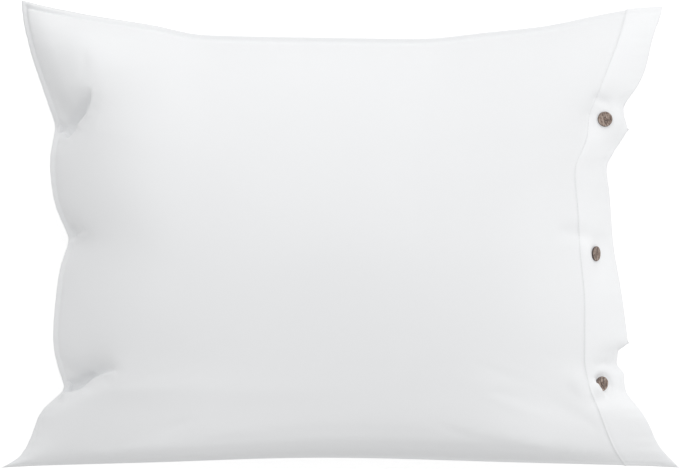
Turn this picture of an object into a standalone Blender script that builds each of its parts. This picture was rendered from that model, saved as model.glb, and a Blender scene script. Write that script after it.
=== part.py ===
"""A white cotton pillowcase with a buttoned hem, filled by its pillow and lying on its back.

The frame has +X towards the buttoned mouth, +Y towards the top seam and +Z up, out of the
front. Its origin is on the surface, under the middle of the case. Sizes here are in
millimetres, and the meshes are made in metres.
"""

from collections import namedtuple
from math import cos, radians, sin

import bmesh
import bpy
import numpy as np
from mathutils import Matrix, Quaternion, Vector

METRES = 0.001

# Fullness of the case
SEAM_HEIGHT = 78.0  # the seam above the surface, halfway along a side
CORNER_DROOP = 36.0  # how much lower the seam is at the corners
CROWN_HEIGHT = 94.0  # the front's rise above the seam
NOTCH_REACH = 45.0  # how far in the crown still follows the notches in the edges
NOTCH_BLUR = 45.0  # how far along an edge its notches are smoothed for the cloth beyond that

# Seams and mouth
BORDER_WIDTH = 5.0  # of the flat border outside the seams
BORDER_HALF_THICKNESS = 1.1
SEAM_GROOVE = 0.8  # how deep the stitching draws the cloth in beside the border
HEM_WIDTH = 36.0
HEM_GROOVE = 0.8  # how deep the stitching that holds the hem draws the cloth in
HEM_STEP = 0.5  # how much the doubled cloth of the hem raises it
HEM_THICKNESS = 1.8  # of the folded hem at the mouth, on the front and on the back
MOUTH_GAP = 2.4  # between the two hems
MOUTH_DEPTH = 14.0  # how far the gap runs in before the pillow fills the case
MOUTH_CLOSED_ROWS = 3  # rows at each corner where the mouth is sewn shut
WAVE_REACH = 70.0  # how far in the cloth follows an edge up and down

# Grid on the cloth
BODY_LENGTH = 517.0  # from the left edge to the hem's stitching
FIRST_STEP = 6.0
LAST_STEP = 8.0
WIDEST_STEP = 16.0
STEP_GROWTH = 0.07
GROOVE_STEP = 1.5  # from a groove's floor to its brim
HEM_COLUMNS = 6

# Buttons
BUTTON_RADIUS = 7.6
BUTTON_SIDES = 32
THREAD_HOLE_RADIUS = 0.8
THREAD_HOLE_OFFSET = 1.5  # of its two holes from its middle
THREAD_HOLE_SIDES = 12
SEAT_GAP = 0.3
SEAT_RADIUS = 12.0  # flat cloth under a button
SEAT_BLEND = 25.0  # where the flat has run out into the crown
SEAT_LEVEL_RADIUS = 9.0  # the cloth that sets a seat's height

WHITE_COTTON = (0.90, 0.90, 0.91, 1.0)
BROWN_SHELL = (0.23, 0.16, 0.13, 1.0)

# Where an edge of the case runs: a place along it, how far out it is there, and whether it
# turns a corner. The notches are where the cloth is drawn in.
EdgePoint = namedtuple("EdgePoint", "along out sharp")

LEFT_EDGE = [  # y, x
    EdgePoint(-239.5, -348, 1),  # lower corner
    EdgePoint(-228, -328, 0),
    EdgePoint(-202, -314, 0),
    EdgePoint(-184, -308, 0),
    EdgePoint(-172, -297, 0),
    EdgePoint(-159, -280, 1),  # lower notch
    EdgePoint(-131, -289, 0),
    EdgePoint(-109, -293, 0),
    EdgePoint(-56, -289, 0),
    EdgePoint(-31, -285, 0),
    EdgePoint(-6, -275, 1),  # middle notch
    EdgePoint(13, -284, 0),
    EdgePoint(34, -292, 0),
    EdgePoint(73, -296, 0),
    EdgePoint(110, -290, 1),  # upper notch
    EdgePoint(153, -305, 0),
    EdgePoint(189, -317, 0),
    EdgePoint(226, -325, 0),
    EdgePoint(239.5, -326, 1),  # upper corner
]
MOUTH_EDGE = [  # y, x
    EdgePoint(-239.5, 348, 1),  # lower corner
    EdgePoint(-228, 337, 0),
    EdgePoint(-214, 325, 0),
    EdgePoint(-196, 317, 0),
    EdgePoint(-176, 305, 0),
    EdgePoint(-161, 291, 0),
    EdgePoint(-147, 290, 0),
    EdgePoint(-138, 287, 0),
    EdgePoint(-133, 281, 1),  # notch above the lower button
    EdgePoint(-121, 284, 0),
    EdgePoint(-111, 294, 1),  # point
    EdgePoint(-60, 287, 0),
    EdgePoint(-7, 278, 0),
    EdgePoint(47, 274, 0),
    EdgePoint(69, 270, 1),  # notch below the upper button
    EdgePoint(85, 280, 0),
    EdgePoint(106, 294, 1),  # point
    EdgePoint(118, 290, 0),
    EdgePoint(131, 288, 1),  # notch above the upper button
    EdgePoint(142, 298, 0),
    EdgePoint(165, 311, 0),
    EdgePoint(202, 320, 0),
    EdgePoint(226, 329, 0),
    EdgePoint(233, 330, 1),  # upper corner
]
HEM_LINE = [  # y, x of the stitching that holds the hem
    EdgePoint(-236, 291, 1),
    EdgePoint(-216, 278, 0),
    EdgePoint(-182, 264, 0),
    EdgePoint(-151, 252, 0),
    EdgePoint(-126, 248, 0),
    EdgePoint(-74, 248, 0),
    EdgePoint(-14, 243, 0),
    EdgePoint(24, 241, 0),
    EdgePoint(63, 238, 0),
    EdgePoint(101, 251, 0),
    EdgePoint(115, 252, 0),
    EdgePoint(148, 264, 0),
    EdgePoint(202, 285, 0),
    EdgePoint(229, 293, 1),
]
TOP_EDGE = [  # x, y
    EdgePoint(-326, 239.5, 1),
    EdgePoint(-296, 232, 0),
    EdgePoint(-245, 222, 0),
    EdgePoint(-184, 212, 0),
    EdgePoint(-143, 203, 0),
    EdgePoint(0, 200, 0),
    EdgePoint(85, 199, 0),
    EdgePoint(143, 205, 0),
    EdgePoint(208, 212, 0),
    EdgePoint(265, 224, 0),
    EdgePoint(306, 231, 0),
    EdgePoint(330, 233, 1),
]
BOTTOM_EDGE = [  # x, y
    EdgePoint(-348, -239.5, 1),
    EdgePoint(-306, -237, 0),
    EdgePoint(-194, -233, 0),
    EdgePoint(-20, -228, 0),
    EdgePoint(184, -233, 0),
    EdgePoint(306, -237, 0),
    EdgePoint(348, -239.5, 1),
]

# Rows of the grid, from the bottom seam to the top one. Each station gives the row's height
# on the left edge, the hem line and the mouth, and the rows since the station before it.
RowStation = namedtuple("RowStation", "left hem mouth rows")
ROW_STATIONS = [
    RowStation(-239.5, -236, -239.5, 0),
    RowStation(-236.5, -233, -236.5, 1),  # the bottom seam
    RowStation(-234.5, -231, -234.5, 1),
    RowStation(-215, -212, -214, 3),  # the tight roll of the cloth over the bottom seam
    RowStation(-159, -160, -161, 6),  # lower left notch
    RowStation(-138, -135, -133, 3),  # notch above the lower button
    RowStation(-118, -113, -111, 3),
    RowStation(-6, -6, -7, 8),  # middle left notch
    RowStation(66, 67, 69, 6),  # notch below the upper button
    RowStation(110, 107, 106, 4),  # upper left notch
    RowStation(132, 131, 131, 3),  # notch above the upper button
    RowStation(233, 222.5, 226.5, 9),
    RowStation(234.5, 224, 228, 1),  # the top seam
    RowStation(239.5, 229, 233, 1),
]

# How the cloth rises from each side: the border that stays flat and its droop, how far in
# the rise reaches, its power, the share of it in a steeper roll near the edge, and how far
# from the neighbouring sides the roll is at its full share.
Side = namedtuple("Side", "border droop reach power roll roll_reach roll_start")
FRONT_SIDES = {
    "left": Side(5.0, 1.8, 280.0, 2.2, 0.55, 108.0, 0.0),
    "mouth": Side(0.0, 0.0, 280.0, 2.2, 0.50, 130.0, 0.0),
    "bottom": Side(3.0, 3.5, 235.0, 2.2, 0.45, 22.0, 150.0),
    "top": Side(5.0, 0.2, 235.0, 2.2, 0.12, 46.0, 0.0),
}
BACK_SIDES = {
    "left": Side(5.0, 0.8, 122.0, 2.1, 0.12, 50.0, 0.0),
    "mouth": Side(0.0, 0.0, 132.0, 2.1, 0.12, 50.0, 0.0),
    "bottom": Side(3.0, 3.5, 118.0, 2.1, 0.12, 50.0, 0.0),
    "top": Side(5.0, 0.8, 128.0, 2.1, 0.12, 50.0, 0.0),
}
NEIGHBOURS = {
    "left": ("bottom", "top"),
    "mouth": ("bottom", "top"),
    "bottom": ("left", "mouth"),
    "top": ("left", "mouth"),
}
ROLL_POWER = 2.4

# Folds in the front: the line of the trough from its deep end, its depth (a ridge is
# negative), how far it spreads to the left and to the right of that line as one walks along
# it, and whether it starts at the case's edge.
Fold = namedtuple("Fold", "depth left right from_edge path")
FOLDS = {
    "upper left pocket": Fold(
        16, 26, 5, True, [(-290, 110), (-276, 102), (-263, 113), (-254, 128), (-252, 142)]
    ),
    "upper left shoulder": Fold(
        -9, 65, 12, True, [(-316, 230), (-296, 188), (-280, 153), (-270, 120)]
    ),
    "upper left swell": Fold(-6, 12, 40, False, [(-322, 236), (-280, 208), (-225, 196)]),
    "upper left crown": Fold(-5, 60, 28, False, [(-268, 226), (-247, 190), (-232, 150)]),
    "middle left tuck": Fold(6, 8, 8, True, [(-275, -6), (-268, -2), (-256, 2)]),
    "lower left fold": Fold(
        20, 19, 5, True, [(-280, -160), (-262, -157), (-248, -146), (-226, -137)]
    ),
    "above the upper button": Fold(6, 8, 8, True, [(288, 132), (270, 136), (258, 142)]),
    "over the lower button": Fold(
        4, 8, 6, True, [(291, -145), (271, -141), (250, -141), (242, -151)]
    ),
    "ridge beside the lower button": Fold(
        -5, 9, 9, False, [(240, -132), (243, -152), (256, -167)]
    ),
}
FOLD_LIMIT = 0.8  # the share of the crown that a fold may cut
BACK_FOLD_SHARE = 0.5  # how deep the same folds are in the back

# Waves of the two short sides: a place along one, its rise there and how far the wave spreads.
Wave = namedtuple("Wave", "side y rise spread")
WAVES = [
    Wave("left", -198, -9, 30),
    Wave("mouth", 137, 9, 17),
    Wave("mouth", 70, 13, 24),
    Wave("mouth", 25, 4, 40),
    Wave("mouth", -60, 4, 26),
    Wave("mouth", -150, -4, 15),
    Wave("mouth", -180, 4, 22),
]

# The buttons' middles, how far their faces lean towards the mouth and nod to the top, their
# spin, and how deep their thread draws the cloth in.
Button = namedtuple("Button", "name x y lean nod spin sink")
BUTTONS = [
    Button("button_upper", 268.6, 116.5, 13, 3, 8, 0.5),
    Button("button_middle", 258.5, -20, 59, 0, -6, 0.5),
    Button("button_lower", 265, -152, 34, -6, 20, 3.0),
]
BUTTON_PROFILE = [  # radius, height: from the middle of the face, over the rim, to the back
    (0.0, 1.7),
    (4.4, 1.6),
    (5.6, 2.2),
    (6.4, 2.4),
    (7.2, 2.1),
    (BUTTON_RADIUS, 1.4),
    (7.3, 0.6),
    (6.2, 0.1),
    (0.0, 0.0),
]


def through(rows, places):
    """The values at some places of the curve through an edge's rows, which it never overshoots."""
    at, value, sharp = (np.array(column, float) for column in zip(*rows))
    width = np.diff(at)
    chord = np.diff(value) / width
    before, after = chord[:-1], chord[1:]
    same_way = before * after > 0
    smooth = np.where(same_way, 2 * before * after / np.where(same_way, before + after, 1), 0)
    corner = sharp[1:-1] > 0
    leave = np.append(chord[0], np.where(corner, after, smooth))
    arrive = np.append(np.where(corner, before, smooth), chord[-1])
    piece = np.clip(np.searchsorted(at, places, side="right") - 1, 0, len(width) - 1)
    t = (places - at[piece]) / width[piece]
    return (
        value[piece] * (1 + 2 * t) * (1 - t) ** 2
        + value[piece + 1] * t * t * (3 - 2 * t)
        + width[piece] * (leave[piece] * t * (1 - t) ** 2 - arrive[piece] * t * t * (1 - t))
    )


def column_places():
    """The grid's columns, as shares of the way from the left edge to the hem's stitching."""
    first, last = BORDER_WIDTH + GROOVE_STEP, BODY_LENGTH - GROOVE_STEP
    places = [first]
    while places[-1] < last:
        here = places[-1]
        step = min(
            WIDEST_STEP,
            FIRST_STEP + STEP_GROWTH * here,
            LAST_STEP + STEP_GROWTH * (last - here),
        )
        places.append(here + step)
    stretch = (last - first) / (places[-1] - first)
    body = first + (np.array(places) - first) * stretch
    return np.concatenate([[0.0, BORDER_WIDTH], body, [BODY_LENGTH]]) / BODY_LENGTH


def hem_places():
    """The hem's columns, as shares of the way from its stitching to the mouth."""
    return np.linspace(GROOVE_STEP / HEM_WIDTH, 1, HEM_COLUMNS + 1)


def row_heights():
    """The grid rows' y on the left edge, the hem line and the mouth."""
    rows = [np.array(ROW_STATIONS[0][:3], float)]
    for last, station in zip(ROW_STATIONS, ROW_STATIONS[1:]):
        start, end = np.array(last[:3], float), np.array(station[:3], float)
        rows += [start + (end - start) * (k + 1) / station.rows for k in range(station.rows)]
    return np.array(rows).T


def lay_out():
    """The x and y of each grid point of the case in plan."""
    left_y, hem_y, mouth_y = row_heights()
    left = np.stack([through(LEFT_EDGE, left_y), left_y], axis=-1)
    hem = np.stack([through(HEM_LINE, hem_y), hem_y], axis=-1)
    mouth = np.stack([through(MOUTH_EDGE, mouth_y), mouth_y], axis=-1)
    body_share = column_places()[:, None, None]
    hem_share = hem_places()[:, None, None]
    plan = np.concatenate([left + (hem - left) * body_share, hem + (mouth - hem) * hem_share])
    up = (left_y - left_y[0]) / (left_y[-1] - left_y[0])
    top_rise = through(TOP_EDGE, plan[:, -1, 0]) - plan[:, -1, 1]
    bottom_rise = through(BOTTOM_EDGE, plan[:, 0, 0]) - plan[:, 0, 1]
    plan[:, :, 1] += top_rise[:, None] * up + bottom_rise[:, None] * (1 - up)
    return plan


def smooth_step(share):
    """A share eased from 0 to 1."""
    share = np.clip(share, 0, 1)
    return share * share * (3 - 2 * share)


def without_notches(edge):
    """An edge smoothed along its length."""
    steps = np.linalg.norm(np.diff(edge, axis=0), axis=1)
    along = np.append(0, np.cumsum(steps))
    weight = np.exp(-(((along[:, None] - along) / NOTCH_BLUR) ** 2)) * np.gradient(along)
    straight = edge[0] + (edge[-1] - edge[0]) * (along / along[-1])[:, None]
    return straight + weight @ (edge - straight) / weight.sum(axis=1)[:, None]


def ways_in(plan):
    """How far each grid point lies from each side, along its own row or column."""
    ends = {
        "left": (plan[:1], without_notches(plan[0])[None]),
        "mouth": (plan[-1:], without_notches(plan[-1])[None]),
        "bottom": (plan[:, :1], plan[:, :1]),
        "top": (plan[:, -1:], plan[:, -1:]),
    }
    inwards = {}
    for name, (edge, smooth_edge) in ends.items():
        near = np.linalg.norm(plan - edge, axis=-1)
        far = np.linalg.norm(plan - smooth_edge, axis=-1)
        inwards[name] = near + (far - near) * smooth_step(near / NOTCH_REACH)
    return inwards


def rise(distance, reach, power):
    """How far a crown has risen, from 0 at its edge to 1 where it is full."""
    return 1 - (1 - np.clip(distance / reach, 0, 1)) ** power


def fullness(inwards, sides):
    """The crown's share of its full height at each grid point."""
    full = 1.0
    for name, side in sides.items():
        distance = np.maximum(inwards[name] - side.border, 0)
        crown = rise(distance, side.reach, side.power)
        roll = rise(distance, side.roll_reach, ROLL_POWER)
        share = side.roll
        if side.roll_start:
            from_corner = np.minimum(*(inwards[neighbour] for neighbour in NEIGHBOURS[name]))
            share = side.roll * smooth_step(from_corner / side.roll_start)
        full = full * ((1 - share) * crown + share * roll)
    return full


def fold_strength(fold, plan):
    """How strongly a fold works at each grid point, from 0 to 1."""
    path = np.array(fold.path, float)
    lengths = np.linalg.norm(np.diff(path, axis=0), axis=1)
    starts = np.append(0, np.cumsum(lengths))
    nearest = np.full(plan.shape[:2], np.inf)
    offset, along = np.zeros_like(nearest), np.zeros_like(nearest)
    for start, end, length, before in zip(path, path[1:], lengths, starts):
        way = (end - start) / length
        reach = np.clip((plan - start) @ way, 0, length)
        away = plan - start - reach[..., None] * way
        distance = np.linalg.norm(away, axis=-1)
        closer = distance < nearest
        nearest = np.where(closer, distance, nearest)
        to_the_left = way[0] * away[..., 1] - way[1] * away[..., 0] > 0
        offset = np.where(closer, distance / np.where(to_the_left, fold.left, fold.right), offset)
        along = np.where(closer, (before + reach) / starts[-1], along)
    lengthwise = 1 - along**4 if fold.from_edge else np.sin(np.pi * along)
    return lengthwise * np.exp(-(offset**2))


def fold_cut(plan, height, share):
    """How deep the folds are at each grid point, kept within a share of the height there."""
    cut = sum(share * fold.depth * fold_strength(fold, plan) for fold in FOLDS.values())
    return np.minimum(cut, FOLD_LIMIT * height)


def face_direction(button):
    """The way a button faces."""
    lean, nod = radians(button.lean), radians(button.nod)
    return np.array([sin(lean) * cos(nod), sin(nod), cos(lean) * cos(nod)])


def flatten_seat(button, plan, heights):
    """Flattens the cloth under a button, and gives the seat's middle."""
    facing = face_direction(button)
    offset = plan - (button.x, button.y)
    near = np.exp(-np.sum(offset**2, axis=-1) / SEAT_LEVEL_RADIUS**2)
    level = float(np.sum(near * heights) / np.sum(near)) - button.sink
    drop = -(offset @ facing[:2]) / facing[2]
    radius = np.sqrt(np.sum(offset**2, axis=-1) + drop**2)
    weight = smooth_step((SEAT_BLEND - radius) / (SEAT_BLEND - SEAT_RADIUS))
    heights += weight * (level + drop - heights)
    return (button.x, button.y, level)


def nearness(distance):
    """How fully the cloth at a distance from an edge follows it up and down, from 0 to 1."""
    return np.clip(1 - distance / WAVE_REACH, 0, 1) ** 2


def seam_surface(plan, inwards):
    """The height of the middle surface, which runs through the seams."""
    across = 2 * inwards["left"] / (inwards["left"] + inwards["mouth"]) - 1
    along = 2 * inwards["bottom"] / (inwards["bottom"] + inwards["top"]) - 1
    seam = SEAM_HEIGHT - CORNER_DROOP * across**4 * along**4
    for wave in WAVES:
        along_edge = np.exp(-(((plan[..., 1] - wave.y) / wave.spread) ** 2))
        seam += wave.rise * nearness(inwards[wave.side]) * along_edge
    droops = [side.droop for side in FRONT_SIDES.values()]
    for edge, droop in zip((np.s_[0], np.s_[-1], np.s_[:, 0], np.s_[:, -1]), droops):
        seam[edge] -= droop
    return seam


def stitch(heights, draw_in):
    """Draws the cloth in along the seams and the hem, and raises the hem's doubled cloth.

    It is drawn in downwards on the front, for which draw_in is 1, and upwards on the back.
    """
    hem_start = -HEM_COLUMNS - 2
    heights[1, 1:-1] -= draw_in * SEAM_GROOVE
    for row in (1, -2):
        heights[1:-1, row] -= draw_in * SEAM_GROOVE
    heights[hem_start, 1:-1] -= draw_in * HEM_GROOVE
    heights[hem_start + 1 : -1, 1:-1] += draw_in * HEM_STEP


def shape_case():
    """The case's front and back grid points, and the middle of each button's seat."""
    plan = lay_out()
    inwards = ways_in(plan)
    at_mouth = nearness(inwards["mouth"])
    seam = seam_surface(plan, inwards)
    half = np.full(seam.shape, BORDER_HALF_THICKNESS)
    mouth_half = HEM_THICKNESS + MOUTH_GAP / 2
    open_rows = np.s_[MOUTH_CLOSED_ROWS:-MOUTH_CLOSED_ROWS]
    half[:, open_rows] += (mouth_half - BORDER_HALF_THICKNESS) * at_mouth[:, open_rows]

    crown = CROWN_HEIGHT * fullness(inwards, FRONT_SIDES)
    front = seam + half + crown - fold_cut(plan, crown, 1)
    stitch(front, 1)
    edge_before_seats = front[-1].copy()
    seats = {button.name: flatten_seat(button, plan, front) for button in BUTTONS}

    underside = seam - half + (front[-1] - edge_before_seats) * at_mouth
    back = underside * (1 - fullness(inwards, BACK_SIDES))
    hollow = np.minimum(underside - back, back)
    back += fold_cut(plan, hollow, BACK_FOLD_SHARE)
    stitch(back, -1)
    return np.dstack([plan, front]), np.dstack([plan, back]), seats


def mouth_faces(bm, places, last_column, last_row):
    """The faces of the mouth's edge, without the rows that are sewn shut."""

    def is_open(vertex):
        column, row, _ = places[vertex]
        return column == last_column and MOUTH_CLOSED_ROWS <= row <= last_row - MOUTH_CLOSED_ROWS

    return [face for face in bm.faces if all(is_open(vertex) for vertex in face.verts)]


def sew_case(front, back):
    """The case as one closed skin: two cloths joined round the edge, with a gap at the mouth."""
    last_column, last_row = front.shape[0] - 1, front.shape[1] - 1
    bm = bmesh.new()
    bmesh.ops.create_grid(bm, x_segments=last_column, y_segments=last_row, size=1)
    back_vertices = set(bm.verts)
    bmesh.ops.extrude_face_region(bm, geom=bm.faces[:], use_keep_orig=True)
    places = {}
    for vertex in bm.verts:
        column = round((vertex.co.x + 1) / 2 * last_column)
        row = round((vertex.co.y + 1) / 2 * last_row)
        cloth = back if vertex in back_vertices else front
        places[vertex] = (column, row, cloth)
    for vertex, (column, row, cloth) in places.items():
        vertex.co = Vector(cloth[column, row]) * METRES
    bmesh.ops.recalc_face_normals(bm, faces=bm.faces[:])

    edge = mouth_faces(bm, places, last_column, last_row)
    bmesh.ops.inset_region(bm, faces=edge, thickness=HEM_THICKNESS * METRES, use_even_offset=True)
    gap = bmesh.ops.extrude_face_region(bm, geom=edge)
    bmesh.ops.delete(bm, geom=edge, context="FACES")
    deep = [item for item in gap["geom"] if isinstance(item, bmesh.types.BMVert)]
    bmesh.ops.translate(bm, verts=deep, vec=(-MOUTH_DEPTH * METRES, 0, 0))
    bmesh.ops.recalc_face_normals(bm, faces=bm.faces[:])
    mesh = bpy.data.meshes.new("pillowcase")
    bm.to_mesh(mesh)
    bm.free()
    mesh.shade_smooth()
    return mesh


def plain_material(name, colour, roughness):
    """A Principled material of one colour."""
    material = bpy.data.materials.new(name)
    material.use_nodes = True
    shader = material.node_tree.nodes["Principled BSDF"]
    shader.inputs["Base Color"].default_value = colour
    shader.inputs["Roughness"].default_value = roughness
    shader.inputs["Metallic"].default_value = 0.0
    return material


def collection(name):
    """A new collection in the scene."""
    made = bpy.data.collections.new(name)
    bpy.context.scene.collection.children.link(made)
    return made


def turned_blank(cutters):
    """A button before its holes are drilled: a profile turned about its axis."""
    mesh = bpy.data.meshes.new("button_blank")
    points = [(radius * METRES, 0, height * METRES) for radius, height in BUTTON_PROFILE]
    mesh.from_pydata(points, [(k, k + 1) for k in range(len(points) - 1)], [])
    blank = bpy.data.objects.new("button_blank", mesh)
    cutters.objects.link(blank)
    screw = blank.modifiers.new("turn", "SCREW")
    screw.steps = screw.render_steps = BUTTON_SIDES
    screw.use_merge_vertices = True
    screw.merge_threshold = 0.00001
    return blank


def thread_holes(cutters):
    """The cutter for a button's two thread holes."""
    bm = bmesh.new()
    for x in (-THREAD_HOLE_OFFSET, THREAD_HOLE_OFFSET):
        bmesh.ops.create_cone(
            bm,
            cap_ends=True,
            segments=THREAD_HOLE_SIDES,
            radius1=THREAD_HOLE_RADIUS * METRES,
            radius2=THREAD_HOLE_RADIUS * METRES,
            depth=2 * BUTTON_RADIUS * METRES,
            matrix=Matrix.Translation((x * METRES, 0, 0)),
        )
    mesh = bpy.data.meshes.new("thread_holes")
    bm.to_mesh(mesh)
    bm.free()
    cutter = bpy.data.objects.new("thread_holes", mesh)
    cutters.objects.link(cutter)
    return cutter


def button_mesh(cutters):
    """The mesh that all the buttons share, with its holes drilled."""
    blank = turned_blank(cutters)
    holes = thread_holes(cutters)
    drill = blank.modifiers.new("drill", "BOOLEAN")
    drill.operation = "DIFFERENCE"
    drill.object = holes
    bpy.context.view_layer.update()
    drilled = blank.evaluated_get(bpy.context.evaluated_depsgraph_get())
    mesh = bpy.data.meshes.new_from_object(drilled)
    mesh.name = "button"
    mesh.materials.clear()
    for helper in (blank, holes):
        bpy.data.objects.remove(helper)
    return mesh


def place_button(button, seat, mesh, parts):
    """One button on its seat, with a hair's gap under it."""
    facing = Vector(face_direction(button))
    placed = bpy.data.objects.new(button.name, mesh)
    parts.objects.link(placed)
    placed.location = (Vector(seat) + facing * SEAT_GAP) * METRES
    placed.rotation_mode = "QUATERNION"
    spin = Quaternion((0, 0, 1), radians(button.spin))
    placed.rotation_quaternion = facing.to_track_quat("Z", "Y") @ spin


def main():
    for old in list(bpy.data.objects):
        bpy.data.objects.remove(old)
    parts, cutters = collection("Pillowcase"), collection("Cutters")

    front, back, seats = shape_case()
    case_mesh = sew_case(front, back)
    case_mesh.materials.append(plain_material("white_cotton", WHITE_COTTON, 0.9))
    parts.objects.link(bpy.data.objects.new("pillowcase", case_mesh))

    shell_mesh = button_mesh(cutters)
    shell_mesh.materials.append(plain_material("brown_shell", BROWN_SHELL, 0.5))
    for button in BUTTONS:
        place_button(button, seats[button.name], shell_mesh, parts)


main()
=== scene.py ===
"""The look of a white buttoned pillowcase: its cloth, hem stitching, buttons and studio.

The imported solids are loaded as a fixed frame, in metres, with +X towards the buttoned mouth,
+Y towards the top seam and +Z out of the front. Each operator makes one kind of piece over
them at its real size and place, and the panel lists the operators in the order they run.
"""

from collections import namedtuple
from contextlib import contextmanager
from math import cos, pi, radians, sin

import bpy
import numpy as np
from bpy.props import FloatProperty, FloatVectorProperty, IntProperty, PointerProperty
from mathutils import Matrix, Quaternion, Vector
from mathutils.bvhtree import BVHTree
from mathutils.kdtree import KDTree


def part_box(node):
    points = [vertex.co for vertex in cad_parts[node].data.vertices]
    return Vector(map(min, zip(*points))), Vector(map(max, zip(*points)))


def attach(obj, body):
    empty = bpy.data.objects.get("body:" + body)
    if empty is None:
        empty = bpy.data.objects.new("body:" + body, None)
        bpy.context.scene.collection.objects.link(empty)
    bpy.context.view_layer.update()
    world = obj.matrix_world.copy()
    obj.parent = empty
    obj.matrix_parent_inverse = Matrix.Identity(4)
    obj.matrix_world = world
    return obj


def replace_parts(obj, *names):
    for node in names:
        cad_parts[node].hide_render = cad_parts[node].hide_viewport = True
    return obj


bl_info = {
    "name": "Buttoned Pillowcase",
    "version": (1, 0, 0),
    "blender": (4, 5, 0),
    "location": "3D View > Sidebar > Pillowcase",
    "description": "Makes the cloth, stitching, buttons and studio of a buttoned pillowcase",
    "category": "Object",
}

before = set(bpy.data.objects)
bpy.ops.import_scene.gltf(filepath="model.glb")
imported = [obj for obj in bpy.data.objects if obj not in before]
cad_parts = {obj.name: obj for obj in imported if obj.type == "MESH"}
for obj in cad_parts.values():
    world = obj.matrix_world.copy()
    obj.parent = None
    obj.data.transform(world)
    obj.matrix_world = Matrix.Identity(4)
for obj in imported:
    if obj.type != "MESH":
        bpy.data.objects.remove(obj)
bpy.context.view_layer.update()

MM = 0.001
SEAM_LEVEL = 0.042  # lowest height of the seam, at the corners

# The stitching that holds the hem, in millimetres.
HemPoint = namedtuple("HemPoint", "y x")
HEM_LINE = [
    HemPoint(-236, 291),
    HemPoint(-216, 278),
    HemPoint(-182, 264),
    HemPoint(-151, 252),
    HemPoint(-126, 248),
    HemPoint(-74, 248),
    HemPoint(-14, 243),
    HemPoint(24, 241),
    HemPoint(63, 238),
    HemPoint(101, 251),
    HemPoint(115, 252),
    HemPoint(148, 264),
    HemPoint(202, 285),
    HemPoint(229, 293),
]

# Fine creases in the front, in millimetres: how deep the cloth sinks on the left of a line
# and how far that spreads, how high its lip stands on the right and how far that spreads, and
# whether the crease starts at the edge of the case.
Crease = namedtuple("Crease", "depth spread lip lip_spread from_edge path")
CREASES = {
    "upper left pocket": Crease(
        6.0, 9, 4.5, 5, False,
        [(-292, 108), (-277, 98), (-266, 109), (-256, 122), (-252.5, 135), (-252, 149)],
    ),
    "lower left fold": Crease(
        4.5, 8, 5.0, 6, True,
        [(-280, -162), (-270, -161), (-262, -158.5), (-249, -147), (-240, -142), (-226, -138)],
    ),
    "middle left tuck": Crease(1.0, 6, 0.8, 6, True, [(-275, -6), (-268, -2), (-256, 2)]),
}
CREASE_SHARPNESS = 0.9  # half the width of the turn between a crease and its lip

# Soft hollows in the front, in millimetres: how deep, how far each spreads from its line, and
# whether it starts at the edge of the case.
Hollow = namedtuple("Hollow", "depth spread from_edge path")
HOLLOWS = {
    "tip of the upper left pocket": Hollow(5.0, 6, True, [(-285, 106), (-277, 103), (-266, 112)]),
    "under the upper left corner": Hollow(0.8, 5, False, [(-262, 190), (-259, 175), (-263, 158)]),
    "middle left tuck": Hollow(3.0, 3.5, False, [(-273, 9), (-270, 0), (-272, -9)]),
    "lower left fold": Hollow(3.5, 6, True, [(-279, -156), (-264, -152), (-250, -142)]),
    "above the upper button": Hollow(2.2, 5, False, [(254, 141), (263, 136), (277, 132)]),
    "above the middle button": Hollow(
        2.5, 8, False,
        [(216, 2), (241, 0.5), (257, -5), (274, -12)],
    ),
    "round the lower button": Hollow(
        3.0, 3.5, False,
        [
            (257, -152), (259, -147), (263, -144), (269, -144),
            (273, -148), (274.5, -154), (271, -161),
        ],
    ),
    "beyond the lower button": Hollow(1.8, 5, False, [(254, -135), (268, -132), (283, -137)]),
    "upper right corner": Hollow(0.7, 2.5, False, [(326, 232), (320, 224), (317, 212), (316, 196)]),
}
FINE_REACH = 13.0  # how far from a crease the cloth's mesh is made finer, in millimetres
RIM_REACH = 6.0  # how far from the rim creases and hollows have their full depth, in millimetres
RIM_SAMPLES = 12  # points on each of the rim's edges from which distances are taken

# The fold of cloth that covers part of the lower button, in millimetres: the middle of its
# edge, the way it lies from there in degrees, how high it stands, and how far it spreads along
# its edge and away from it.
Cover = namedtuple("Cover", "x y way rise along away")
COVER = Cover(264.2, -156.2, 213, 5.6, 8.5, 12)
COVER_SHARPNESS = 1.4  # how far the fold takes to rise at its edge

# Small bends of the case's rim, in millimetres: where one is, how it moves the rim, and how far
# it spreads.
Bend = namedtuple("Bend", "x y right up rise spread")
BENDS = [
    Bend(-290, 108, 0, 0, -5, 15),
    Bend(285.5, -141, 2.8, -0.5, 0, 5),
    Bend(286, -119, -2.5, 0.5, 0, 4),
    Bend(292, -150, 0, 0, 4, 9),
    Bend(340, -232, 0, 0, -7, 35),
]

# The crease along the seams and the border outside it. All of them change over some distance
# from the rim or from the upper left corner, where the crease is deepest.
UPPER_LEFT_CORNER = np.array((-326, 239.5)) * MM
CORNER_SPREAD = 85 * MM
SEAM_DEPTH_ELSEWHERE = 0.15  # share of the seam crease's depth far from that corner
SEAM_CREASE_INSET = 6 * MM  # from the rim to the crease's floor
SEAM_CREASE_WIDTH = 1.6 * MM
BORDER_REACH = 6 * MM  # from the rim to where its lift ends
DROOP_SPREAD = 12 * MM  # how far in from the rim the left side hangs
LEFT_SIDE_START = 200 * MM  # how far left of the middle the left side starts to hang
LEFT_SIDE_BLEND = 60 * MM
HEM_RIM_REACH = 34 * MM  # the rim past this, out from the hem's stitching, is the mouth

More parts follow.
